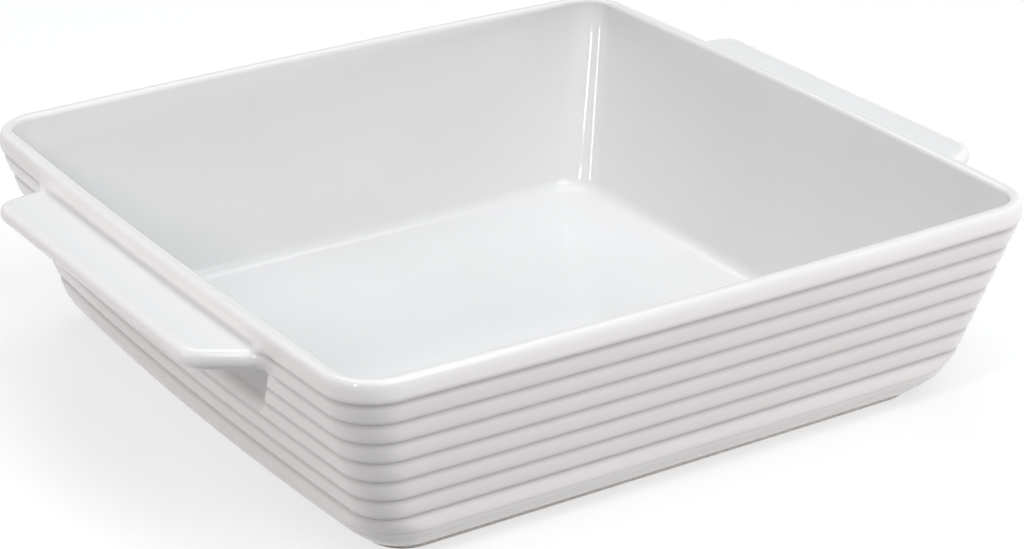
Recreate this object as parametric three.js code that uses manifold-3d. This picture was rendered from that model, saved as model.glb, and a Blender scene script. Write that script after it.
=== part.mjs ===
// Square gratin dish in white glazed ceramic: a sloping ribbed wall on a flat base, a rounded lip,
// a small foot ring and two lug handles. Millimetres, +Z up, the handles along X.
// The origin is the middle of the dish, on the surface that it stands on.
import * as THREE from 'three';
import { mergeVertices } from 'three/addons/utils/BufferGeometryUtils.js';
import Module from 'manifold-3d';

const wasm = await Module();
wasm.setup();

// Body
const RIM_WIDTH = 250; // over the lip, at the middle of a side
const HEIGHT = 69; // from the foot to the top of the lip
const WALL_DRAFT = 17.2; // degrees that the wall leans out
const WALL_THICKNESS = 4.6; // level, from the bottom of a groove to the inside
const RIM_CORNER_RADIUS = 17; // upright corners of the outside, at the lip
const WALL_CORNER_RADIUS = 12; // the same, at the last groove
const FLOOR_CORNER_RADIUS = 9; // upright corners of the inside, at the floor
const RIM_BOW = 1.8; // how far a side swells in its middle, at the lip
const BASE_BOW = 0.2; // the same, at the foot of the two plain sides
const BASE_HANDLE_BOW = 3.2; // the same, at the foot of the two sides with handles

// Lip
const LIP_HEIGHT = 7.4; // from the first groove to the top
const LIP_THICKNESS = 5;
const LIP_OVERHANG = 1.4; // how far the lip stands out past the first groove
const LIP_ROUND = 3.8; // height of its rounded top

// Ribs
const RIB_COUNT = 6; // between the first groove and the last
const RIB_BULGE = 0.8; // how far a rib stands out past the grooves beside it
const BASE_BAND = 17.9; // from the foot to the last groove

// Base, floor and foot
const BASE_WIDTH = 219; // over the edge where the last rib turns under
const BASE_EDGE_HEIGHT = 11.6; // of that edge
const BASE_CORNER_RADIUS = 19; // of that edge, rounder than the wall above
const BASE_SLOPE = 38; // degrees that the underside rises from the foot
const FLOOR_THICKNESS = 4.3;
const FLOOR_FILLET = 6; // round between the floor and the inside of the wall
const FOOT_WIDTH = 197;
const FOOT_HEIGHT = 2.2;
const FOOT_RING_WIDTH = 5;
const FOOT_CORNER_RADIUS = 12;
const FOOT_STEP = 1.8; // ledge between the foot ring and the slope of the base

// Handles
const HANDLE_REACH = 18.5; // past the lip
const HANDLE_THICKNESS = 6.6;
const HANDLE_EDGE_LENGTH = 133; // outer edge, before its corners are rounded
const HANDLE_END_SLANT = 25; // degrees that each end spreads towards the wall
const HANDLE_CORNER_ROUND = 7; // length that each round takes off the edge
const HANDLE_FLARE = 3; // length of the round between an end and the wall
const HANDLE_TILT = 6; // degrees that the handle rises towards its edge
const HANDLE_DROP = 4.8; // from the top of the lip down to the top of the outer edge
const HANDLE_COVE = 4; // hollow round between the handle and the lip
const HANDLE_ROOT = 9; // length of the blank that the wall trims off
const SLIP_GAP = 0.3; // joint between handle and wall, filled with slip

// Finger pockets under the handles
const POCKET_HEIGHT = 24;
const POCKET_DEPTH = 1.7; // from the crest of the ribs
const POCKET_INSET = 5; // from each end of the handle's root

// Fineness of the curves
const CORNER_STEPS = 6;
const SIDE_STEPS = 6;
const RIB_STEPS = 4;
const ROUND_STEPS = 5;
const POCKET_SIDES = 96;
const POCKET_CAP_STEPS = 24;

// Levels and lines that follow from the sizes above
const draft = Math.tan(THREE.MathUtils.degToRad(WALL_DRAFT));
const firstGrooveZ = HEIGHT - LIP_HEIGHT;
const ribPitch = (firstGrooveZ - BASE_BAND) / RIB_COUNT;
const floorZ = FOOT_HEIGHT + FLOOR_THICKNESS;
const handleEdgeX = RIM_WIDTH / 2 + HANDLE_REACH;
const handleWallX = RIM_WIDTH / 2 - LIP_OVERHANG;
const handleSlant = THREE.MathUtils.degToRad(HANDLE_END_SLANT);
const handleTilt = THREE.MathUtils.degToRad(HANDLE_TILT);

// Half-width of the outside at the bottom of the grooves, at any height
function grooveHalf(z) {
  return RIM_WIDTH / 2 - LIP_OVERHANG - draft * (firstGrooveZ - z);
}

// Half-width of the inside of the wall, at any height
function insideHalf(z) {
  return grooveHalf(z) - WALL_THICKNESS;
}

// Corner radius of the outside at the bottom of the grooves. It narrows down the wall and opens at the base.
function grooveRadius(z) {
  if (z >= BASE_BAND) {
    const topRadius = RIM_CORNER_RADIUS - LIP_OVERHANG;
    return THREE.MathUtils.mapLinear(z, BASE_BAND, firstGrooveZ, WALL_CORNER_RADIUS, topRadius);
  }
  if (z >= BASE_EDGE_HEIGHT) {
    return THREE.MathUtils.mapLinear(z, BASE_EDGE_HEIGHT, BASE_BAND, BASE_CORNER_RADIUS, WALL_CORNER_RADIUS);
  }
  return THREE.MathUtils.mapLinear(z, FOOT_HEIGHT, BASE_EDGE_HEIGHT, FOOT_CORNER_RADIUS, BASE_CORNER_RADIUS);
}

// Corner radius of the lip, whose outlines are all drawn from the same corner centres
function lipRadius(half) {
  return RIM_CORNER_RADIUS - RIM_WIDTH / 2 + half;
}

// One level outline of the dish: its half-width at a plain side, and how far its sides swell
function level(half, z, radius) {
  const bow = THREE.MathUtils.lerp(BASE_BOW, RIM_BOW, z / HEIGHT);
  const handleBow = THREE.MathUtils.lerp(BASE_HANDLE_BOW, RIM_BOW, z / HEIGHT);
  return { half, z, radius, bow, handleBow };
}

function ribLevel(half, z) {
  return level(half, z, grooveRadius(z) + half - grooveHalf(z));
}

function baseLevel(half, z) {
  return level(half, z, grooveRadius(z));
}

function lipLevel(half, z) {
  return level(half, z, lipRadius(half));
}

// The inside swells alike on all four sides
function insideLevel(half, z) {
  const topRadius = lipRadius(insideHalf(firstGrooveZ));
  const radius = THREE.MathUtils.mapLinear(z, floorZ, firstGrooveZ, FLOOR_CORNER_RADIUS, topRadius);
  const plain = level(half, z, radius);
  return { ...plain, handleBow: plain.bow };
}

// Long arc of a side that runs smoothly into its corners, whose arcs are centred at (centre, centre)
function sideArc(centre, radius, bow) {
  const arcRadius = (centre * centre) / (2 * bow) + radius + bow / 2;
  const setBack = arcRadius - radius - bow - centre;
  return { arcRadius, setBack, lean: Math.atan2(centre, centre + setBack) };
}

// Points on an arc, without its last point
function arcPoints(centreX, centreY, radius, fromAngle, toAngle, steps) {
  const points = [];
  for (let i = 0; i < steps; i += 1) {
    const angle = THREE.MathUtils.lerp(fromAngle, toAngle, i / steps);
    points.push([centreX + radius * Math.cos(angle), centreY + radius * Math.sin(angle)]);
  }
  return points;
}

// Points of a rounded square with bowed sides: the right side round to the left, then the same turned about
function outlinePoints({ half, z, radius, bow, handleBow }) {
  const centre = half - bow - radius;
  const right = sideArc(centre, radius, handleBow);
  const back = sideArc(centre, radius, bow);
  const quarter = Math.PI / 2;
  const halfOutline = [
    ...arcPoints(-right.setBack, 0, right.arcRadius, -right.lean, right.lean, SIDE_STEPS),
    ...arcPoints(centre, centre, radius, right.lean, quarter - back.lean, CORNER_STEPS),
    ...arcPoints(0, -back.setBack, back.arcRadius, quarter - back.lean, quarter + back.lean, SIDE_STEPS),
    ...arcPoints(-centre, centre, radius, quarter + back.lean, 2 * quarter - right.lean, CORNER_STEPS),
  ];
  const otherHalf = halfOutline.map(([x, y]) => [-x, -y]);
  return [...halfOutline, ...otherHalf].flatMap(([x, y]) => [x, y, z]);
}

// Closed body through a list of levels. A ring joins its last level to its first, and a plug has two caps.
function loft(levels, isRing) {
  const positions = levels.flatMap(outlinePoints);
  const count = 4 * (SIDE_STEPS + CORNER_STEPS);
  const index = [];
  const bands = isRing ? levels.length : levels.length - 1;
  for (let band = 0; band < bands; band += 1) {
    const low = band * count;
    const high = ((band + 1) % levels.length) * count;
    for (let i = 0; i < count; i += 1) {
      const next = (i + 1) % count;
      index.push(low + i, low + next, high + next, low + i, high + next, high + i);
    }
  }
  if (!isRing) {
    const top = (levels.length - 1) * count;
    for (let i = 1; i < count - 1; i += 1) {
      index.push(0, i + 1, i, top, top + i, top + i + 1);
    }
  }
  const geometry = new THREE.BufferGeometry();
  geometry.setAttribute('position', new THREE.Float32BufferAttribute(positions, 3));
  geometry.setIndex(index);
  geometry.computeVertexNormals();
  return geometry;
}

// Points on a shallow arc from one (half, z) point to another, swelling outwards, without its last point
function arcBetween(from, to, bulge, steps) {
  const [halfA, zA] = from;
  const [halfB, zB] = to;
  const chord = Math.hypot(halfB - halfA, zB - zA);
  const outHalf = (zB - zA) / chord;
  const outZ = (halfA - halfB) / chord;
  const arcRadius = (chord * chord) / (8 * bulge) + bulge / 2;
  const points = [];
  for (let i = 0; i < steps; i += 1) {
    const along = chord * (i / steps - 0.5);
    const swell = Math.sqrt(arcRadius * arcRadius - along * along) - (arcRadius - bulge);
    const share = i / steps;
    points.push([
      THREE.MathUtils.lerp(halfA, halfB, share) + outHalf * swell,
      THREE.MathUtils.lerp(zA, zB, share) + outZ * swell,
    ]);
  }
  return points;
}

// Base from the ledge over the foot ring up its slope and up the last rib, without its last point
function baseLevels() {
  const startHalf = FOOT_WIDTH / 2 + FOOT_STEP;
  const edgeHalf = BASE_WIDTH / 2;
  const rise = (edgeHalf - startHalf) * Math.tan(THREE.MathUtils.degToRad(BASE_SLOPE));
  const slope = new THREE.QuadraticBezierCurve(
    new THREE.Vector2(startHalf, FOOT_HEIGHT),
    new THREE.Vector2(edgeHalf, FOOT_HEIGHT + rise),
    new THREE.Vector2(edgeHalf, BASE_EDGE_HEIGHT),
  );
  const points = slope.getPoints(ROUND_STEPS).slice(0, -1).map(({ x, y }) => [x, y]);
  const lastGroove = [grooveHalf(BASE_BAND), BASE_BAND];
  points.push(...arcBetween([edgeHalf, BASE_EDGE_HEIGHT], lastGroove, RIB_BULGE, RIB_STEPS));
  return points.map(([half, z]) => baseLevel(half, z));
}

// Ribs from the last groove up to the first groove, which is the seam under the lip
function ribLevels() {
  const points = [];
  for (let rib = 0; rib < RIB_COUNT; rib += 1) {
    const z = BASE_BAND + rib * ribPitch;
    const from = [grooveHalf(z), z];
    const to = [grooveHalf(z + ribPitch), z + ribPitch];
    points.push(...arcBetween(from, to, RIB_BULGE, RIB_STEPS));
  }
  points.push([grooveHalf(firstGrooveZ), firstGrooveZ]);
  return points.map(([half, z]) => ribLevel(half, z));
}

// The level at a given height on a rising list of levels
function levelAt(levels, z) {
  const above = levels.findIndex((each) => each.z > z);
  const a = levels[above - 1];
  const b = levels[above];
  const share = (z - a.z) / (b.z - a.z);
  const mixed = Object.keys(a).map((key) => [key, THREE.MathUtils.lerp(a[key], b[key], share)]);
  return { ...Object.fromEntries(mixed), z };
}

// Inside of the wall, from the seam under the lip down to where its fillet meets the floor
function insideLevels() {
  const lean = Math.atan(draft);
  const centreZ = floorZ + FLOOR_FILLET;
  const centreHalf = insideHalf(centreZ) - FLOOR_FILLET / Math.cos(lean);
  const levels = [insideLevel(insideHalf(firstGrooveZ), firstGrooveZ)];
  for (let i = 0; i <= ROUND_STEPS; i += 1) {
    const angle = THREE.MathUtils.lerp(-lean, -Math.PI / 2, i / ROUND_STEPS);
    const z = i === ROUND_STEPS ? floorZ : centreZ + FLOOR_FILLET * Math.sin(angle);
    levels.push(insideLevel(centreHalf + FLOOR_FILLET * Math.cos(angle), z));
  }
  return levels;
}

// Outside of the lip, from the first groove over its bulge to the middle of its top
function lipOutsideLevels() {
  const bulgeHalf = RIM_WIDTH / 2;
  const bulgeZ = HEIGHT - LIP_ROUND;
  const drop = bulgeZ - firstGrooveZ;
  const underRadius = (LIP_OVERHANG * LIP_OVERHANG + drop * drop) / (2 * LIP_OVERHANG);
  const underSweep = Math.asin(drop / underRadius);
  const levels = [];
  for (let i = 0; i < ROUND_STEPS; i += 1) {
    const angle = underSweep * (i / ROUND_STEPS - 1);
    const half = bulgeHalf - underRadius * (1 - Math.cos(angle));
    levels.push(lipLevel(half, bulgeZ + underRadius * Math.sin(angle)));
  }
  for (let i = 0; i <= ROUND_STEPS; i += 1) {
    const angle = (Math.PI / 2) * (i / ROUND_STEPS);
    const half = bulgeHalf - (LIP_THICKNESS / 2) * (1 - Math.cos(angle));
    levels.push(lipLevel(half, bulgeZ + LIP_ROUND * Math.sin(angle)));
  }
  return levels;
}

// Inside of the lip, from beside the middle of its top down to the seam with the wall
function lipInsideLevels() {
  const middleHalf = RIM_WIDTH / 2 - LIP_THICKNESS / 2;
  const levels = [];
  for (let i = 1; i <= ROUND_STEPS; i += 1) {
    const angle = (Math.PI / 2) * (i / ROUND_STEPS);
    const half = middleHalf - (LIP_THICKNESS / 2) * Math.sin(angle);
    levels.push(lipLevel(half, HEIGHT - LIP_ROUND * (1 - Math.cos(angle))));
  }
  levels.push(insideLevel(insideHalf(firstGrooveZ), firstGrooveZ));
  return levels;
}

// Booleans
function toSolid(geometry) {
  const bare = geometry.clone();
  bare.deleteAttribute('normal');
  bare.deleteAttribute('uv');
  const merged = mergeVertices(bare, 1e-4);
  const vertProperties = new Float32Array(merged.attributes.position.array);
  const triVerts = new Uint32Array(merged.index.array);
  return new wasm.Manifold(new wasm.Mesh({ numProp: 3, vertProperties, triVerts }));
}

function toGeometry(solid) {
  const mesh = solid.getMesh();
  const geometry = new THREE.BufferGeometry();
  geometry.setAttribute('position', new THREE.Float32BufferAttribute(mesh.vertProperties, 3));
  geometry.setIndex(new THREE.Uint32BufferAttribute(mesh.triVerts, 1));
  geometry.computeVertexNormals();
  return geometry;
}

const outsideLevels = [...baseLevels(), ...ribLevels()];

function basePlate() {
  const below = outsideLevels.filter((each) => each.z < floorZ);
  return loft([...below, levelAt(outsideLevels, floorZ)], false);
}

function footRing() {
  const outer = FOOT_WIDTH / 2;
  const inner = outer - FOOT_RING_WIDTH;
  const innerRadius = FOOT_CORNER_RADIUS - FOOT_RING_WIDTH / 2;
  return loft([
    level(inner, 0, innerRadius),
    level(outer, 0, FOOT_CORNER_RADIUS),
    level(outer, FOOT_HEIGHT, FOOT_CORNER_RADIUS),
    level(inner, FOOT_HEIGHT, innerRadius),
  ], true);
}

function rim() {
  return loft([...lipOutsideLevels(), ...lipInsideLevels()], true);
}

// Half-length of a handle at a given distance from the middle of the dish, drawn in by an inset
function handleHalf(x, inset) {
  const spread = (handleEdgeX - x) * Math.tan(handleSlant);
  return HANDLE_EDGE_LENGTH / 2 + spread - inset / Math.cos(handleSlant);
}

// Plan of a handle seen from above: rounded outer corners, slanting ends, and a flare into the wall
function handlePlan(inset) {
  const edgeX = handleEdgeX - inset;
  const edgeHalf = handleHalf(edgeX, inset);
  const roundX = edgeX - HANDLE_CORNER_ROUND * Math.cos(handleSlant);
  const flareX = handleWallX + HANDLE_FLARE * Math.cos(handleSlant);
  const wallHalf = handleHalf(handleWallX, inset);
  const rootX = handleWallX - HANDLE_ROOT;
  const plan = new THREE.Shape();
  plan.moveTo(edgeX, HANDLE_CORNER_ROUND - edgeHalf);
  plan.lineTo(edgeX, edgeHalf - HANDLE_CORNER_ROUND);
  plan.quadraticCurveTo(edgeX, edgeHalf, roundX, handleHalf(roundX, inset));
  plan.lineTo(flareX, handleHalf(flareX, inset));
  plan.quadraticCurveTo(handleWallX, wallHalf, handleWallX - SLIP_GAP, wallHalf + HANDLE_FLARE);
  plan.lineTo(rootX, wallHalf + HANDLE_FLARE);
  plan.lineTo(rootX, -wallHalf - HANDLE_FLARE);
  plan.lineTo(handleWallX - SLIP_GAP, -wallHalf - HANDLE_FLARE);
  plan.quadraticCurveTo(handleWallX, -wallHalf, flareX, -handleHalf(flareX, inset));
  plan.lineTo(roundX, -handleHalf(roundX, inset));
  plan.quadraticCurveTo(edgeX, -edgeHalf, edgeX, HANDLE_CORNER_ROUND - edgeHalf);
  return plan;
}

// Turns a level handle blank up by the tilt, about the top of its outer edge, and lowers it into place
function placeHandle(geometry) {
  geometry.translate(-handleEdgeX, 0, 0);
  geometry.rotateY(-handleTilt);
  geometry.translate(handleEdgeX, 0, HEIGHT - HANDLE_DROP);
  return toSolid(geometry);
}

// Slab of a handle with a bullnose all round. Its top is at level 0 before it is placed.
function handleSlab() {
  const nose = HANDLE_THICKNESS / 2;
  const flat = SLIP_GAP;
  const geometry = new THREE.ExtrudeGeometry(handlePlan(0), {
    depth: flat,
    bevelThickness: nose - flat / 2,
    bevelSize: nose,
    bevelOffset: -nose,
    bevelSegments: ROUND_STEPS,
    curveSegments: ROUND_STEPS,
  });
  geometry.translate(0, 0, -nose - flat / 2);
  return placeHandle(geometry);
}

// Hollow round that leads from the top of a handle up to the lip
function handleCove() {
  const lipX = RIM_WIDTH / 2 + SLIP_GAP;
  const rootX = handleWallX - HANDLE_ROOT;
  const section = new THREE.Shape();
  section.moveTo(rootX, -HANDLE_THICKNESS / 2);
  section.lineTo(lipX + HANDLE_COVE, -HANDLE_THICKNESS / 2);
  section.lineTo(lipX + HANDLE_COVE, 0);
  section.quadraticCurveTo(lipX, 0, lipX, HANDLE_COVE);
  section.lineTo(rootX, HANDLE_COVE);
  const length = 2 * handleHalf(rootX, 0);
  const strip = new THREE.ExtrudeGeometry(section, {
    depth: length,
    bevelEnabled: false,
    curveSegments: ROUND_STEPS,
  });
  strip.rotateX(Math.PI / 2);
  strip.translate(0, length / 2, 0);
  const ends = new THREE.ExtrudeGeometry(handlePlan(HANDLE_THICKNESS / 2), {
    depth: 2 * (HANDLE_THICKNESS + HANDLE_COVE),
    bevelEnabled: false,
    curveSegments: ROUND_STEPS,
  });
  ends.translate(0, 0, -HANDLE_THICKNESS - HANDLE_COVE);
  return placeHandle(strip).intersect(placeHandle(ends));
}

// Solid block of the dish's outside, larger by the joint, which trims the root of a handle
function handleTrim() {
  const grown = [...outsideLevels, ...lipOutsideLevels()].map((each) => ({
    ...each,
    half: each.half + SLIP_GAP,
    radius: each.radius + SLIP_GAP,
  }));
  return toSolid(loft(grown, false));
}

function handle() {
  const blank = handleSlab().add(handleCove());
  return toGeometry(blank.subtract(handleTrim()));
}

// Long shallow scoop that clears the ribs under one handle
function pocketTool(side) {
  const depth = POCKET_DEPTH;
  const scoopRadius = (POCKET_HEIGHT * POCKET_HEIGHT) / (8 * depth) + depth / 2;
  const rootLength = 2 * (handleHalf(handleWallX, 0) - POCKET_INSET);
  const lean = Math.atan(draft);
  const underZ = HEIGHT - HANDLE_DROP - HANDLE_THICKNESS - HANDLE_REACH * Math.tan(handleTilt);
  const middleZ = underZ - (POCKET_HEIGHT / 2) * Math.cos(lean);
  const { handleBow, bow } = ribLevel(grooveHalf(middleZ), middleZ);
  const crestHalf = grooveHalf(middleZ) + handleBow - bow + RIB_BULGE / Math.cos(lean);
  const away = scoopRadius - depth;
  const straight = rootLength - POCKET_HEIGHT;
  const tool = new THREE.CapsuleGeometry(scoopRadius, straight, POCKET_CAP_STEPS, POCKET_SIDES);
  tool.translate(side * (crestHalf + away * Math.cos(lean)), 0, middleZ - away * Math.sin(lean));
  return toSolid(tool);
}

function ribbedWall() {
  const above = outsideLevels.filter((each) => each.z > floorZ);
  const plain = toSolid(loft([levelAt(outsideLevels, floorZ), ...above, ...insideLevels()], true));
  return toGeometry(plain.subtract(pocketTool(-1)).subtract(pocketTool(1)));
}

function glaze() {
  return new THREE.MeshStandardMaterial({ color: 0xf3f3f2, roughness: 0.1, metalness: 0 });
}

function bareClay() {
  return new THREE.MeshStandardMaterial({ color: 0xe4dfd6, roughness: 0.85, metalness: 0 });
}

function piece(name, geometry, material) {
  const mesh = new THREE.Mesh(geometry, material);
  mesh.name = name;
  return mesh;
}

const dish = new THREE.Group();
dish.add(piece('base_plate', basePlate(), glaze()));
dish.add(piece('foot_ring', footRing(), bareClay()));
dish.add(piece('ribbed_wall', ribbedWall(), glaze()));
dish.add(piece('rim', rim(), glaze()));

const handleGeometry = handle();
dish.add(piece('right_handle', handleGeometry, glaze()));
const leftHandle = piece('left_handle', handleGeometry.clone(), glaze());
leftHandle.rotation.z = Math.PI;
dish.add(leftHandle);

export default dish;
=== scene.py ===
"""Square gratin dish in white glazed ceramic, dressed around its solids.

The base, wall, lip and handles of the real dish are one fired body under one glaze, so here they are one
closed skin: level outlines down the section of the wall, with the two handles drawn out of it.
The foot ring below is bare clay. Sizes are in millimetres, and the meshes are made in metres.
"""
import math

import bpy
import numpy as np
from mathutils import Matrix, Vector


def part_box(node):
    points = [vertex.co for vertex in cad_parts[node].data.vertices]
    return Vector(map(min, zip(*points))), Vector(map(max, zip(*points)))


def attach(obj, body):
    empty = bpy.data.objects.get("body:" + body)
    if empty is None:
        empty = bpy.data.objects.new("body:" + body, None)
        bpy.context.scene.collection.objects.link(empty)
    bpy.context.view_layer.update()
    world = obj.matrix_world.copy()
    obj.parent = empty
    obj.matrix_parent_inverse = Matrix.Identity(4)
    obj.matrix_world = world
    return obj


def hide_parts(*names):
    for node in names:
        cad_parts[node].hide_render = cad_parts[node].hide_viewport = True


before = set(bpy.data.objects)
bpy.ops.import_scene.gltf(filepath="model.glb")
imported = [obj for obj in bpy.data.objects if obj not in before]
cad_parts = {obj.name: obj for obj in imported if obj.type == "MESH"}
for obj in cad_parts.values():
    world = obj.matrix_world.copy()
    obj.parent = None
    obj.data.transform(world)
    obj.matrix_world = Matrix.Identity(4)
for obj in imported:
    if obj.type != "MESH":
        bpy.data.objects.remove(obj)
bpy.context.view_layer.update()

MM = 0.001

# Sizes read from the solids
rim_low, rim_high = (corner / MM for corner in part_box("rim"))
foot_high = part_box("foot_ring")[1] / MM
HEIGHT = rim_high.z
RIM_HALF = rim_high.y
FIRST_GROOVE_Z = rim_low.z
FOOT_HALF = foot_high.y
FOOT_HEIGHT = foot_high.z
BASE_TOP_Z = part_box("base_plate")[1].z / MM
HANDLE_EDGE_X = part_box("right_handle")[1].x / MM

# Body
WALL_DRAFT = math.radians(17.2)
WALL_THICKNESS = 4.6  # at the first groove
FLOOR_WALL_THICKNESS = 6.0  # the same wall where it meets the floor
RIM_CORNER_RADIUS = 17.0
WALL_CORNER_RADIUS = 12.0
BASE_CORNER_RADIUS = 19.0
FOOT_CORNER_RADIUS = 12.0
FLOOR_CORNER_RADIUS = 13.0
MOUTH_CORNER_RADIUS = 10.0
RIM_BOW = 1.8
BASE_BOW = 0.2
BASE_HANDLE_BOW = 3.2

# Lip and ribs
LIP_THICKNESS = 5.0
LIP_OVERHANG = 1.4
LIP_ROUND = 3.8
LIP_INNER_ROUND = 2.4
LIP_FULLNESS = 2.8  # 2 is a round lip, and more is a flatter top with tighter bends
LIP_UNDERCUT = 4.0  # 2 is an even bend from the lip's face into the groove, and more a later one
RIB_COUNT = 6
RIB_BULGE = 0.7
RIB_FULLNESS = 3.6  # 2 is a parabola, and more is a flatter crest with steeper flanks
LAST_GROOVE_Z = 17.9

# Base, floor and foot
BASE_HALF = 109.5
BASE_EDGE_HEIGHT = 11.6
BASE_SLOPE = math.radians(38)
FLOOR_SINK = 2.0  # how far the floor lies below the top of the solid base
FLOOR_FILLET = 5.5
FOOT_STEP = 1.8
FOOT_RING_WIDTH = 5.0
FOOT_ROUND = 0.6  # radius of the foot's lower edges

# Handles
HANDLE_THICKNESS = 6.2
HANDLE_EDGE_HALF = 66.5
HANDLE_END_SLANT = math.radians(22)
HANDLE_CORNER_RADIUS = 8.5
HANDLE_TILT = math.radians(6)
HANDLE_DROP = 4.8
COVE_OVER = 2.4  # reach of the soft joint between handle and lip
COVE_UNDER = 3.0  # the same, between the underside and the wall
COVE_END = 5.5  # the same, where the ends flare into the wall
FLARE_FROM = 69.0  # distance from the middle at which the flare starts, and at which it is full
FLARE_FULL = 75.0

# Finger pockets
POCKET_HALF = 72.0  # half-length at the height below
POCKET_HALF_Z = 54.0
POCKET_LEAN = 0.74  # how much shorter it is for each millimetre further down
POCKET_EDGE = 2.2
POCKET_LOW_Z = 32.5
POCKET_FADE = 8.5
POCKET_TOP_Z = 58.0
POCKET_SINK = 2.0

# Darkening in the grooves and pockets: glaze run together with painted shade in the grooves, painted shade
# in the pockets
GROOVE_POOL_AND_SHADE = 0.66  # how much a groove darkens, partly glaze run together and partly painted shade, and how far it reaches from the groove's middle
GROOVE_DARKENING_REACH = 1.2
# painted shade in the finger pockets under the handles, at full strength
POCKET_SHADE = 1.0
GROOVE_DARKENING_CLEAR = (1.0, 4.0)  # distance from a handle at which a groove's darkening starts, and at which it is full
POCKET_SHADE_LIFT = (0.1, 0.6)  # distances off the wall between which a pocket's painted shade gives way to the handle

# Fineness of the skin
ZONE_HALF = 84.0  # half-length of the stretch of a side whose points keep their place along it
ZONE_FINE = 56.0
ZONE_SHARE = 0.95  # most of a short side that the zone may take
ZONE_COARSE_STATIONS = 14
ZONE_FINE_STATIONS = 62
END_STATIONS = 4
CORNER_STATIONS = 24
BACK_STATIONS = 40
FILLET_ROWS = 10
INNER_WALL_ROWS = 10
LIP_ROWS = 14
UNDER_LIP_ROWS = 18
HANDLE_RIB_ROWS = 26
RIB_ROWS = 14
SLOPE_ROWS = 16
FOOT_ROUND_ROWS = 6
FLAT_SCALES = (0.93, 0.8, 0.62, 0.42, 0.2, 0.07)  # rings of the floor and the underside, towards the middle

# Sizes that follow from these
FLOOR_Z = BASE_TOP_Z - FLOOR_SINK
TAN_DRAFT = math.tan(WALL_DRAFT)
INSIDE_DRAFT = math.atan(TAN_DRAFT + (FLOOR_WALL_THICKNESS - WALL_THICKNESS) / (FIRST_GROOVE_Z - FLOOR_Z))
RIB_PITCH = (FIRST_GROOVE_Z - LAST_GROOVE_Z) / RIB_COUNT


# Section of the dish

def groove_half(z):
    """Half-width of the outside along the bottom of the grooves."""
    return RIM_HALF - LIP_OVERHANG - TAN_DRAFT * (FIRST_GROOVE_Z - z)


def inside_half(z):
    thickness = np.interp(z, [FLOOR_Z, FIRST_GROOVE_Z], [FLOOR_WALL_THICKNESS, WALL_THICKNESS])
    return groove_half(z) - thickness


def groove_radius(z):
    """Corner radius along the bottom of the grooves."""
    heights = [FOOT_HEIGHT, BASE_EDGE_HEIGHT, LAST_GROOVE_Z, FIRST_GROOVE_Z]
    radii = [FOOT_CORNER_RADIUS, BASE_CORNER_RADIUS, WALL_CORNER_RADIUS, RIM_CORNER_RADIUS - LIP_OVERHANG]
    return np.interp(z, heights, radii)


def lip_radius(half):
    return RIM_CORNER_RADIUS - RIM_HALF + half


def levels(section, radius, handle_base_bow=BASE_HANDLE_BOW):
    """Level rows for the (half-width, height) points of a section.

    Each row holds half-width, height, corner radius, bow, and bow of the handle sides.
    """
    half, z = np.asarray(section, float).T
    share = z / HEIGHT
    bow = BASE_BOW + (RIM_BOW - BASE_BOW) * share
    handle_bow = handle_base_bow + (RIM_BOW - handle_base_bow) * share
    return np.column_stack([half, z, radius + 0 * z, bow, handle_bow])


def eased(count):
    """Shares from 0 to 1 that crowd towards both ends."""
    return 0.5 - 0.5 * np.cos(np.pi * np.linspace(0, 1, count))


def rib(top, bottom, rows):
    """Points down one rib, from the groove over it to the groove under it, without the last."""
    share = eased(rows + 1)[:-1, None]
    chord = np.subtract(bottom, top)
    outwards = np.array([-chord[1], chord[0]]) / np.hypot(*chord)
    swell = RIB_BULGE * (1 - np.abs(2 * share - 1) ** RIB_FULLNESS)
    return np.asarray(top) + chord * share + outwards * swell


def floor_fillet():
    """Points from the floor up to the inside of the wall."""
    centre_z = FLOOR_Z + FLOOR_FILLET
    centre_half = inside_half(centre_z) - FLOOR_FILLET / math.cos(INSIDE_DRAFT)
    angle = np.linspace(-math.pi / 2, -INSIDE_DRAFT, FILLET_ROWS)
    half = centre_half + FLOOR_FILLET * np.cos(angle)
    z = centre_z + FLOOR_FILLET * np.sin(angle)
    return np.column_stack([half, z])


def inside_levels():
    fillet = floor_fillet()
    z = np.linspace(fillet[-1, 1], FIRST_GROOVE_Z, INNER_WALL_ROWS)[1:]
    section = np.vstack([fillet, np.column_stack([inside_half(z), z])])
    half, z = section.T
    wall_radius = np.interp(z, [FLOOR_Z, FIRST_GROOVE_Z], [FLOOR_CORNER_RADIUS, MOUTH_CORNER_RADIUS])
    radius = wall_radius - inside_half(z) + half
    return levels(section, radius, handle_base_bow=BASE_BOW)


def lip_quarter():
    """Shares of a quarter's width and height, from the side of the lip up to its top."""
    angle = np.linspace(0, math.pi / 2, LIP_ROWS)
    return np.cos(angle) ** (2 / LIP_FULLNESS), np.sin(angle) ** (2 / LIP_FULLNESS)


def lip_inside_levels():
    """From the inside of the wall up to the middle of the lip's top."""
    out, up = lip_quarter()
    half = RIM_HALF - LIP_THICKNESS / 2 * (1 + out)
    z = HEIGHT - LIP_INNER_ROUND * (1 - up)
    radius = np.interp(half, [half[0], half[-1]], [MOUTH_CORNER_RADIUS, lip_radius(half[-1])])
    return levels(np.column_stack([half, z]), radius)


def lip_outside_levels():
    """From beside the middle of the lip's top over its bulge down towards the first groove."""
    out, up = (share[-2::-1] for share in lip_quarter())
    half = RIM_HALF - LIP_THICKNESS / 2 * (1 - out)
    z = HEIGHT - LIP_ROUND * (1 - up)
    share = np.linspace(0, 1, UNDER_LIP_ROWS)[1:-1]
    half = np.concatenate([half, RIM_HALF - LIP_OVERHANG * share ** LIP_UNDERCUT])
    z = np.concatenate([z, z[-1] + (FIRST_GROOVE_Z - z[-1]) * share])
    return levels(np.column_stack([half, z]), lip_radius(half))


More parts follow.
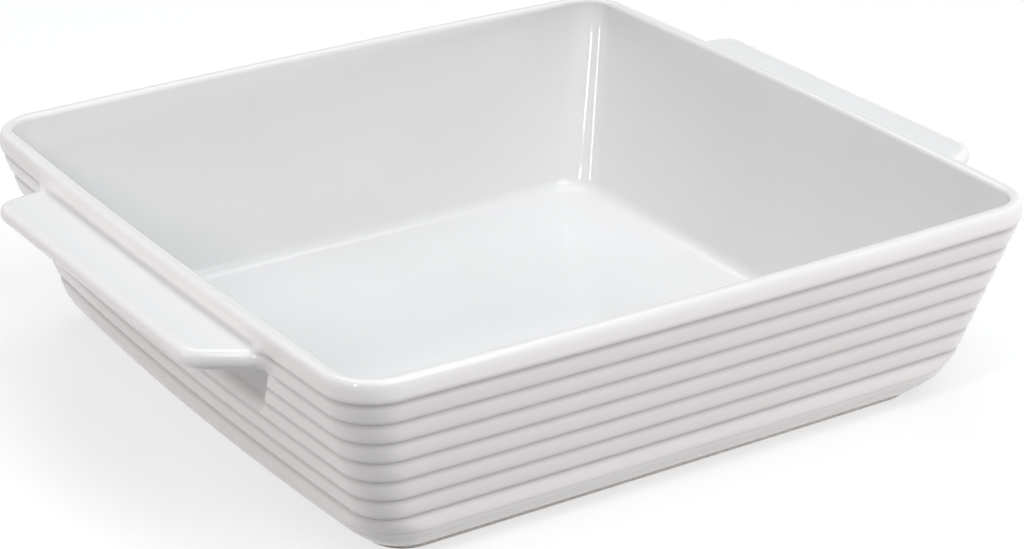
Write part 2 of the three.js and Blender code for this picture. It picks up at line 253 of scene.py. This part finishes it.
def rib_levels():
    """From the first groove down to the last, with more rows where a handle grows out of the wall."""
    points = []
    for number in range(RIB_COUNT):
        z = FIRST_GROOVE_Z - number * RIB_PITCH
        top = (groove_half(z), z)
        bottom = (groove_half(z - RIB_PITCH), z - RIB_PITCH)
        points.append(rib(top, bottom, RIB_ROWS if number else HANDLE_RIB_ROWS))
    section = np.vstack(points)
    half, z = section.T
    return levels(section, groove_radius(z) + half - groove_half(z))


def base_levels():
    """From the last groove down the last rib and the slope of the base to the ledge over the foot."""
    edge = np.array([BASE_HALF, BASE_EDGE_HEIGHT])
    last_rib = rib((groove_half(LAST_GROOVE_Z), LAST_GROOVE_Z), edge, RIB_ROWS)
    start = np.array([FOOT_HALF + FOOT_STEP, FOOT_HEIGHT])
    rise = (BASE_HALF - start[0]) * math.tan(BASE_SLOPE)
    bend = np.array([BASE_HALF, FOOT_HEIGHT + rise])
    share = np.linspace(0, 1, SLOPE_ROWS)[:, None]
    slope = (1 - share) ** 2 * edge + 2 * share * (1 - share) * bend + share ** 2 * start
    section = np.vstack([last_rib, slope])
    return levels(section, groove_radius(section[:, 1]))


# Level outlines

def side_arc(centre, radius, bow):
    """Radius, set-back of the middle, and half-sweep of the long arc of a side."""
    arc_radius = centre ** 2 / (2 * bow) + radius + bow / 2
    set_back = arc_radius - radius - bow - centre
    return arc_radius, set_back, np.arctan2(centre, centre + set_back)


def arc(centre_x, centre_y, radius, angle):
    return np.column_stack([centre_x + radius * np.cos(angle), centre_y + radius * np.sin(angle)])


def zone_places():
    """Places along the zone of a side, finer towards its ends where the handles end."""
    coarse = np.linspace(0, ZONE_FINE, ZONE_COARSE_STATIONS + 1)
    fine = np.linspace(ZONE_FINE, ZONE_HALF, ZONE_FINE_STATIONS + 1)
    half = np.concatenate([coarse[1:], fine[1:]])
    return np.concatenate([-half[::-1], [0], half])


ZONE_Y = zone_places()
ZONE = slice(END_STATIONS, END_STATIONS + len(ZONE_Y))


def outline(level):
    """Points of one level: the right side, the back and their corners, then the same turned about."""
    half, z, radius, bow, handle_bow = level
    centre = half - bow - radius
    right_radius, right_back, right_lean = side_arc(centre, radius, handle_bow)
    back_radius, back_back, back_lean = side_arc(centre, radius, bow)
    end_y = right_radius * math.sin(right_lean)
    zone = ZONE_Y * min(1, ZONE_SHARE * end_y / ZONE_HALF)
    lead = np.linspace(zone[-1], end_y, END_STATIONS + 1)
    right_y = np.concatenate([-lead[:0:-1], zone, lead[1:-1]])
    corner = np.linspace(0, 1, CORNER_STATIONS, endpoint=False)
    back = np.linspace(-1, 1, BACK_STATIONS, endpoint=False)
    quarter = math.pi / 2
    sweep = quarter - back_lean - right_lean
    half_outline = np.vstack([
        arc(-right_back, 0, right_radius, np.arcsin(right_y / right_radius)),
        arc(centre, centre, radius, right_lean + sweep * corner),
        arc(0, -back_back, back_radius, quarter + back_lean * back),
        arc(-centre, centre, radius, quarter + back_lean + sweep * corner),
    ])
    xy = np.vstack([half_outline, -half_outline])
    return np.column_stack([xy, np.full(len(xy), z)])


def outlines(rows):
    return np.array([outline(level) for level in rows])


# Outside of the right wall beside its handle

def smooth_step(value, low, high):
    share = np.clip((value - low) / (high - low), 0, 1)
    return share * share * (3 - 2 * share)


def smooth_min(a, b, reach):
    """Smaller of two distances, with a soft joint where they meet."""
    overlap = np.maximum(reach - np.abs(a - b), 0) / reach
    return np.minimum(a, b) - overlap ** 2 * reach / 4


class Wall:
    """Outside of the right wall, with its finger pocket, for any place along it and any height."""

    def __init__(self, rows):
        self.z = rows[::-1, 1]
        self.rows = rows[::-1]

    def pocket(self, y, z):
        end = POCKET_HALF - POCKET_LEAN * (POCKET_HALF_Z - z)
        along = 1 - smooth_step(np.abs(y), end - POCKET_EDGE / 2, end + POCKET_EDGE / 2)
        rise = smooth_step(z, POCKET_LOW_Z, POCKET_LOW_Z + POCKET_FADE)
        top = 1 - smooth_step(z, POCKET_TOP_Z - POCKET_EDGE, POCKET_TOP_Z)
        return along * rise * top

    def x(self, y, z):
        half, radius, bow, handle_bow = (np.interp(z, self.z, self.rows[:, k]) for k in (0, 2, 3, 4))
        arc_radius, set_back, _ = side_arc(half - bow - radius, radius, handle_bow)
        side = np.sqrt(arc_radius ** 2 - y ** 2) - set_back
        return side - self.pocket(y, z) * (half - groove_half(z) + POCKET_SINK)


def handle_plan(x, y):
    """Distance from the handle's outline seen from above, negative inside."""
    slant = np.array([math.sin(HANDLE_END_SLANT), math.cos(HANDLE_END_SLANT)])
    radius = HANDLE_CORNER_RADIUS
    edge = x - HANDLE_EDGE_X
    end = edge * slant[0] + (np.abs(y) - HANDLE_EDGE_HALF) * slant[1]
    corner_x = edge + radius
    corner_y = (end + radius - corner_x * slant[0]) / slant[1]
    past_edge = corner_x - corner_y * slant[0] / slant[1]
    past_end = corner_y / slant[1]
    round_corner = np.hypot(corner_x, corner_y) - radius
    return np.where((past_edge > 0) & (past_end > 0), round_corner, np.maximum(edge, end))


def handle_middle(x):
    """Height of the handle's middle plane."""
    return HEIGHT - HANDLE_DROP - HANDLE_THICKNESS / 2 - (HANDLE_EDGE_X - x) * math.tan(HANDLE_TILT)


def handle_distance(x, y, z):
    nose = HANDLE_THICKNESS / 2
    off = (z - handle_middle(x)) * math.cos(HANDLE_TILT)
    out = np.maximum(handle_plan(x, y) + nose, 0)
    return np.hypot(out, off) - nose


# Skin drawn out over the handles

RAY_DEPTH = 16.0  # how far inside the wall's outside the rays start
RAY_REACH = 60.0
RAY_HALVINGS = 40
HANDLE_TOP_Z = 67.6  # rows between these heights are drawn out along the handle
HANDLE_LOW_Z = 49.5
SPREAD_FULL = 60.0  # within this of the middle, rows are spread along the whole handle
SPREAD_NONE = 77.0  # and from here on they keep their height on the wall
SPREAD_SAMPLES = 4000
SPREAD_TURN = 4.0  # how much of its rows a bend takes, in millimetres for each radian


class HandleSkin:
    """Joined outside of wall and handle, found along rays that fan out from inside the wall."""

    def __init__(self, wall, y):
        self.wall = wall
        self.y = y
        self.x0 = wall.x(y, FIRST_GROOVE_Z + 0 * y) - RAY_DEPTH
        self.z0 = handle_middle(RIM_HALF - RAY_DEPTH)

    def distance(self, x, z):
        wall = (x - self.wall.x(self.y, z)) * math.cos(WALL_DRAFT)
        handle = handle_distance(x, self.y, z)
        height = (z - handle_middle(x)) / HANDLE_THICKNESS
        reach = COVE_UNDER + (COVE_OVER - COVE_UNDER) * smooth_step(height, -0.5, 0.5)
        flare = smooth_step(np.abs(self.y), FLARE_FROM, FLARE_FULL) * smooth_step(height, -0.5, 0)
        return smooth_min(wall, handle, reach + (COVE_END - reach) * flare)

    def hit(self, angle):
        """Points (x, z) where rays leave the skin, with one row of angles for each row of the mesh."""
        near = np.zeros_like(angle)
        far = np.full_like(angle, RAY_REACH)
        for _ in range(RAY_HALVINGS):
            middle = (near + far) / 2
            inside = self.distance(self.x0 + middle * np.cos(angle), self.z0 + middle * np.sin(angle)) < 0
            near = np.where(inside, middle, near)
            far = np.where(inside, far, middle)
        return self.x0 + near * np.cos(angle), self.z0 + near * np.sin(angle)

    def plain_angles(self, z):
        """Angles at which rows at these heights lie on the wall alone."""
        heights = np.repeat(z[:, None], len(self.y), axis=1)
        return np.arctan2(heights - self.z0, self.wall.x(self.y, heights) - self.x0)


def spread_angles(wall, first, last, count):
    """Angles that spread rows evenly along the section through a handle's middle, closer on its bends."""
    skin = HandleSkin(wall, np.zeros(1))
    angle = np.linspace(first, last, SPREAD_SAMPLES)[:, None]
    x, z = (part[:, 0] for part in skin.hit(angle))
    step = np.hypot(np.diff(x), np.diff(z))
    heading = np.unwrap(np.arctan2(np.diff(z), np.diff(x)))
    turn = np.abs(np.diff(heading, append=heading[-1]))
    travel = np.concatenate([[0], np.cumsum(step + SPREAD_TURN * turn)])
    return np.interp(np.linspace(0, travel[-1], count), travel, angle[:, 0])


def draw_out_handle(rings, rows, wall):
    """Moves the zones of both handle sides onto the joined outside of wall and handle."""
    z = rows[:, 1]
    low = (z > LAST_GROOVE_Z) & (z <= HANDLE_LOW_Z)
    rings[low, ZONE, 0] = wall.x(ZONE_Y[None, :], z[low, None])
    drawn = (z > HANDLE_LOW_Z) & (z < HANDLE_TOP_Z)
    skin = HandleSkin(wall, ZONE_Y)
    plain = skin.plain_angles(z[drawn])
    middle = len(ZONE_Y) // 2
    at_middle = plain[:, middle]
    spread = spread_angles(wall, at_middle[0], at_middle[-1], len(at_middle)) - at_middle
    share = 1 - smooth_step(np.abs(ZONE_Y), SPREAD_FULL, SPREAD_NONE)
    x, height = skin.hit(plain + spread[:, None] * share)
    rings[drawn, ZONE, 0] = x
    rings[drawn, ZONE, 2] = height
    half_count = rings.shape[1] // 2
    rings[:, half_count:] = rings[:, :half_count] * [-1, -1, 1]


# Meshes

def flat_rings(ring):
    """Rings that shrink a level outline towards the middle."""
    return np.array([ring * [scale, scale, 1] for scale in FLAT_SCALES])


def skin_mesh(name, rings, closes_on_itself):
    """Closed mesh through rings of points. A skin that doesn't close on itself gets a fan on both ends."""
    rows, count, _ = rings.shape
    points = rings.reshape(-1, 3)
    here = np.arange(count)
    following = (here + 1) % count
    faces = []
    for row in range(rows if closes_on_itself else rows - 1):
        low = row * count
        high = ((row + 1) % rows) * count
        faces += np.column_stack([low + here, high + here, high + following, low + following]).tolist()
    if not closes_on_itself:
        first_middle, last_middle = len(points), len(points) + 1
        points = np.vstack([points, rings[0].mean(0), rings[-1].mean(0)])
        last = (rows - 1) * count
        faces += [[first_middle, a, b] for a, b in zip(here.tolist(), following.tolist())]
        faces += [[last_middle, last + b, last + a] for a, b in zip(here.tolist(), following.tolist())]
    mesh = bpy.data.meshes.new(name)
    mesh.from_pydata((points * MM).tolist(), [], faces)
    mesh.shade_smooth()
    piece = bpy.data.objects.new(name, mesh)
    bpy.context.scene.collection.objects.link(piece)
    return piece


def glaze_pool_and_painted_shade(outside, wall):
    """Darkening at each point: painted shade in the pockets, glaze run together with painted shade in the
    grooves, none elsewhere.
    """
    z = outside[..., 2]
    groove = np.clip(np.round((FIRST_GROOVE_Z - z) / RIB_PITCH), 0, RIB_COUNT)
    off = z - (FIRST_GROOVE_Z - groove * RIB_PITCH)
    # groove darkening: partly glaze run together, partly painted shade
    pool_and_shade = GROOVE_POOL_AND_SHADE * np.exp(-(off / GROOVE_DARKENING_REACH) ** 2)
    x, height = outside[:, ZONE, 0], z[:, ZONE]
    pocket = wall.pocket(ZONE_Y, height)
    pool_and_shade[:, ZONE] *= (1 - pocket) * smooth_step(handle_distance(x, ZONE_Y, height), *GROOVE_DARKENING_CLEAR)
    # painted shade in the pockets, fading where the skin lifts off the wall onto the handle
    pool_and_shade[:, ZONE] += POCKET_SHADE * pocket * (1 - smooth_step(x - wall.x(ZONE_Y, height), *POCKET_SHADE_LIFT))
    half_count = pool_and_shade.shape[1] // 2
    pool_and_shade[:, half_count:] = pool_and_shade[:, :half_count]
    return pool_and_shade


def glazed_body():
    outside_rows = np.vstack([lip_outside_levels(), rib_levels(), base_levels()])
    wall = Wall(outside_rows)
    inside = outlines(np.vstack([inside_levels(), lip_inside_levels()]))
    outside = outlines(outside_rows)
    draw_out_handle(outside, outside_rows, wall)
    inside = np.vstack([flat_rings(inside[0])[::-1], inside])
    underside = flat_rings(outside[-1])
    body = skin_mesh("glazed_body", np.vstack([inside, outside, underside]), False)
    pool_and_shade = np.zeros(len(body.data.vertices))
    first = inside.shape[0] * inside.shape[1]
    outside_pool_and_shade = glaze_pool_and_painted_shade(outside, wall).ravel()
    pool_and_shade[first:first + len(outside_pool_and_shade)] = outside_pool_and_shade
    # darkening for the glaze: painted shade in the pockets, glaze run together with painted shade in the
    # grooves
    body.data.attributes.new("pool_and_shade", "FLOAT", "POINT").data.foreach_set("value", pool_and_shade)
    return body


def foot_ring():
    """Ring with softly rounded lower edges."""
    inner = FOOT_HALF - FOOT_RING_WIDTH
    turn = np.linspace(0, math.pi / 2, FOOT_ROUND_ROWS)
    outer_round = np.column_stack([
        FOOT_HALF - FOOT_ROUND * (1 - np.cos(turn)),
        FOOT_ROUND * (1 - np.sin(turn)),
    ])
    inner_round = np.column_stack([FOOT_HALF + inner - outer_round[::-1, 0], outer_round[::-1, 1]])
    section = np.vstack([[FOOT_HALF, FOOT_HEIGHT], outer_round, inner_round, [inner, FOOT_HEIGHT]])
    radius = FOOT_CORNER_RADIUS - (FOOT_HALF - section[:, 0]) / 2
    return skin_mesh("foot_ring_clay", outlines(levels(section, radius)), True)


# Materials

NOISE_RANGE = (0.3, 0.7)  # where most of a noise's values lie


def new_material(name):
    material = bpy.data.materials.new(name)
    material.use_nodes = True
    nodes = material.node_tree.nodes
    return material, nodes, material.node_tree.links, nodes["Principled BSDF"]


def noise(nodes, links, scale, detail):
    """Noise over the piece's own coordinates, in features for each metre."""
    place = nodes.new("ShaderNodeTexCoord")
    texture = nodes.new("ShaderNodeTexNoise")
    texture.inputs["Scale"].default_value = scale
    texture.inputs["Detail"].default_value = detail
    links.new(place.outputs["Object"], texture.inputs["Vector"])
    return texture.outputs["Fac"]


def spread(nodes, links, value, low, high):
    """A noise's value, stretched to a number between low and high."""
    node = nodes.new("ShaderNodeMapRange")
    node.inputs["From Min"].default_value, node.inputs["From Max"].default_value = NOISE_RANGE
    node.inputs["To Min"].default_value = low
    node.inputs["To Max"].default_value = high
    links.new(value, node.inputs["Value"])
    return node.outputs["Result"]


def blend(nodes, links, share, first, second):
    """Colour between two, each a colour or another node's output."""
    node = nodes.new("ShaderNodeMix")
    node.data_type = "RGBA"
    links.new(share, node.inputs["Factor"])
    for name, colour in (("A", first), ("B", second)):
        socket = next(s for s in node.inputs if s.name == name and s.type == "RGBA")
        if isinstance(colour, tuple):
            socket.default_value = (*colour, 1)
        else:
            links.new(colour, socket)
    return next(s for s in node.outputs if s.type == "RGBA")


def bump(nodes, links, height, depth):
    """Normal over a fine relief of this depth in millimetres."""
    node = nodes.new("ShaderNodeBump")
    node.inputs["Strength"].default_value = 1.0
    node.inputs["Distance"].default_value = depth * MM
    links.new(height, node.inputs["Height"])
    return node.outputs["Normal"]


# Glaze: its colours, then the scale and detail of its noises and what they vary
GLAZE_WHITE = (0.83, 0.822, 0.818)
GLAZE_THIN = (0.81, 0.8, 0.792)
# grey of the grooves and pockets: painted shade, over glaze run together in the grooves
GLAZE_POOL_AND_SHADE = (0.44, 0.43, 0.427)
GLAZE_DRIFT_NOISE = (18, 3)
GLAZE_GLOSS_NOISE = (45, 4)
GLAZE_RIPPLE_NOISE = (60, 3)
GLAZE_ROUGHNESS = (0.05, 0.1)
GLAZE_RIPPLE_DEPTH = 0.02


def glaze():
    """White glaze, uneven in tone, gloss and level, and greyer in the grooves and pockets, where shade is
    painted in, over glaze run together in the grooves.
    """
    material, nodes, links, shader = new_material("white_glaze")
    drift = spread(nodes, links, noise(nodes, links, *GLAZE_DRIFT_NOISE), 0, 1)
    white = blend(nodes, links, drift, GLAZE_WHITE, GLAZE_THIN)
    pool_and_shade = nodes.new("ShaderNodeAttribute")
    pool_and_shade.attribute_name = "pool_and_shade"
    # the attribute greys the glaze: painted shade in the pockets, glaze run together and painted shade in
    # the grooves
    links.new(blend(nodes, links, pool_and_shade.outputs["Fac"], white, GLAZE_POOL_AND_SHADE), shader.inputs["Base Color"])
    gloss = spread(nodes, links, noise(nodes, links, *GLAZE_GLOSS_NOISE), *GLAZE_ROUGHNESS)
    links.new(gloss, shader.inputs["Roughness"])
    ripple = bump(nodes, links, noise(nodes, links, *GLAZE_RIPPLE_NOISE), GLAZE_RIPPLE_DEPTH)
    links.new(ripple, shader.inputs["Normal"])
    return material


# Bare clay, in the same order
CLAY_LIGHT = (0.76, 0.74, 0.71)
CLAY_DARK = (0.6, 0.575, 0.54)
CLAY_GRAIN_NOISE = (700, 5)
CLAY_GLOSS_NOISE = (300, 3)
CLAY_PIT_NOISE = (1200, 4)
CLAY_ROUGHNESS = (0.75, 0.95)
CLAY_PIT_DEPTH = 0.08


def bare_clay():
    """Dry wiped clay with a fine grain."""
    material, nodes, links, shader = new_material("bare_clay")
    grain = spread(nodes, links, noise(nodes, links, *CLAY_GRAIN_NOISE), 0, 1)
    links.new(blend(nodes, links, grain, CLAY_LIGHT, CLAY_DARK), shader.inputs["Base Color"])
    gloss = spread(nodes, links, noise(nodes, links, *CLAY_GLOSS_NOISE), *CLAY_ROUGHNESS)
    links.new(gloss, shader.inputs["Roughness"])
    pits = bump(nodes, links, noise(nodes, links, *CLAY_PIT_NOISE), CLAY_PIT_DEPTH)
    links.new(pits, shader.inputs["Normal"])
    return material


# Stage, light and camera, in metres

SEEING_RAYS = ("Is Camera Ray", "Is Glossy Ray", "Is Transmission Ray")
FLOOR_SIZE = 6.0
FLOOR_TONE = 0.4
FLOOR_LIFT = 0.65  # brings the open floor to white for the camera, and its shadows with it by as much


def seen_or(nodes, links, level):
    """1 for rays that look at a surface, also in a reflection, and a plain level for all others."""
    path = nodes.new("ShaderNodeLightPath")
    most = None
    for ray in SEEING_RAYS:
        before = most
        most = nodes.new("ShaderNodeMath")
        most.operation = "MAXIMUM"
        most.inputs[1].default_value = level
        links.new(path.outputs[ray], most.inputs[0])
        if before:
            links.new(before.outputs[0], most.inputs[1])
    return most.outputs[0]


def stage_floor():
    half = FLOOR_SIZE / 2
    corners = [(-half, -half, 0), (half, -half, 0), (half, half, 0), (-half, half, 0)]
    mesh = bpy.data.meshes.new("floor")
    mesh.from_pydata(corners, [], [(0, 1, 2, 3)])
    floor = bpy.data.objects.new("floor", mesh)
    bpy.context.scene.collection.objects.link(floor)
    material, nodes, links, shader = new_material("pale_floor")
    shader.inputs["Base Color"].default_value = (FLOOR_TONE, FLOOR_TONE, FLOOR_TONE, 1)
    shader.inputs["Roughness"].default_value = 1.0
    shader.inputs["Specular IOR Level"].default_value = 0.0
    shader.inputs["Emission Color"].default_value = (1, 1, 1, 1)
    lift = nodes.new("ShaderNodeMath")
    lift.operation = "MULTIPLY"
    lift.inputs[1].default_value = FLOOR_LIFT
    links.new(seen_or(nodes, links, 0), lift.inputs[0])
    links.new(lift.outputs[0], shader.inputs["Emission Strength"])
    floor.data.materials.append(material)


AMBIENT = 0.1
COOL = (0.955, 1.0, 1.03)
WARM = (1.04, 0.97, 0.965)

# Softboxes: bearing and rise in degrees, then distance, width and height, power in watts and colour
SOFTBOXES = {
    "top_softbox": (0, 90, 1.5, 0.9, 0.9, 2.6, COOL),
    "back_softbox": (60, 60, 1.5, 1.0, 1.0, 7.4, COOL),
    "left_softbox": (205, 60, 1.5, 0.8, 0.8, 1.8, COOL),
    "front_softbox": (280, 55, 1.5, 0.9, 0.9, 9.4, COOL),
    "left_card": (160, 2.6, 1.5, 1.0, 0.12, 6.2, WARM),
    "right_card": (311, 2.6, 1.5, 1.0, 0.12, 11.2, WARM),
    "front_strip": (206.4, 35.7, 1.5, 0.05, 0.26, 3.6, WARM),
    "side_strip": (170, 23.5, 1.5, 0.05, 0.26, 1.0, WARM),
}


def world_light():
    """White for what looks at the surroundings, and a plain level for the light that they give."""
    world = bpy.data.worlds.new("studio")
    bpy.context.scene.world = world
    world.use_nodes = True
    nodes = world.node_tree.nodes
    links = world.node_tree.links
    background = nodes["Background"]
    background.inputs["Color"].default_value = (1, 1, 1, 1)
    links.new(seen_or(nodes, links, AMBIENT), background.inputs["Strength"])


def add_softbox(name, bearing, rise, distance, width, height, power, colour):
    data = bpy.data.lights.new(name, "AREA")
    data.shape = "RECTANGLE"
    data.size = width
    data.size_y = height
    data.energy = power
    data.color = colour
    lamp = bpy.data.objects.new(name, data)
    out = Matrix.Rotation(math.radians(bearing), 3, "Z") @ Matrix.Rotation(-math.radians(rise), 3, "Y")
    place = out @ Vector((distance, 0, 0))
    lamp.location = place
    lamp.rotation_euler = (-place).to_track_quat("-Z", "Y").to_euler()
    lamp.visible_glossy = "card" not in name  # the matt cards near the table give no glints
    bpy.context.scene.collection.objects.link(lamp)


CAMERA_PLACE = (-0.4593, -0.7374, 0.4124)
CAMERA_YAW = math.radians(-32.215)
CAMERA_PITCH = math.radians(23.842)
CAMERA_ROLL = math.radians(-0.518)
CAMERA_LENS = 102.54
CAMERA_SHIFT = (0.00242, 0.00002)


def add_camera():
    data = bpy.data.cameras.new("camera")
    data.lens = CAMERA_LENS
    data.shift_x, data.shift_y = CAMERA_SHIFT
    camera = bpy.data.objects.new("camera", data)
    turn = Matrix.Rotation(CAMERA_YAW, 4, "Z") @ Matrix.Rotation(math.pi / 2 - CAMERA_PITCH, 4, "X")
    camera.matrix_world = Matrix.Translation(CAMERA_PLACE) @ turn @ Matrix.Rotation(CAMERA_ROLL, 4, "Z")
    bpy.context.scene.collection.objects.link(camera)
    bpy.context.scene.camera = camera


bpy.context.scene.view_settings.view_transform = "Standard"
add_camera()
stage_floor()
world_light()
for name, setting in SOFTBOXES.items():
    add_softbox(name, *setting)

body = glazed_body()
body.data.materials.append(glaze())
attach(body, "root")
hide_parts("base_plate", "ribbed_wall", "rim", "right_handle", "left_handle")

foot = foot_ring()
foot.data.materials.append(bare_clay())
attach(foot, "root")
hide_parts("foot_ring")
